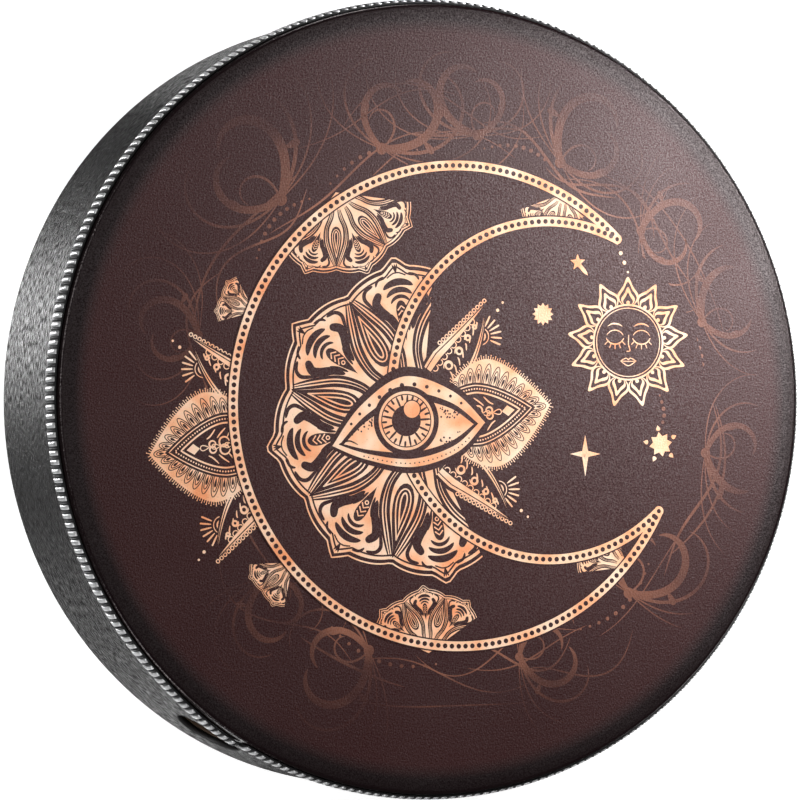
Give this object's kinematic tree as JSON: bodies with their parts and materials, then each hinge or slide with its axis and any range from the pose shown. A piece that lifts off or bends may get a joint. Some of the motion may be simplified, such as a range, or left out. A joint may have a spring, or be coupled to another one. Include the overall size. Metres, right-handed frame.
{
  "type": "frame drum",
  "caption": "Shallow hand-held frame drum: bent plywood hoop open at the back, glued film head, ribbed trim braid round the edge, and a thumb hole in the hoop.",
  "frame": {"origin": "centre of the open back rim's plane, which the drum rests on", "axes": "+Z along the drum's axis from the open back to the head; +Y towards the top of the printed picture"},
  "size_m": [0.254, 0.254, 0.062],
  "materials": {
    "stained_wood": "black stain, satin",
    "ply_wood": "dark dyed veneer, raw edge",
    "head_film": "leather-grained polyester film, printed",
    "trim_black": "black cotton filler cord",
    "trim_silver": "silver metallised yarn"
  },
  "bodies": {
    "root": {"hoop_outer_ply": "stained_wood", "hoop_core_ply": "ply_wood", "hoop_inner_ply": "stained_wood", "head_film": "head_film", "trim_filler": "trim_black", "trim_wrap": "trim_silver"}
  },
  "joints": []
}
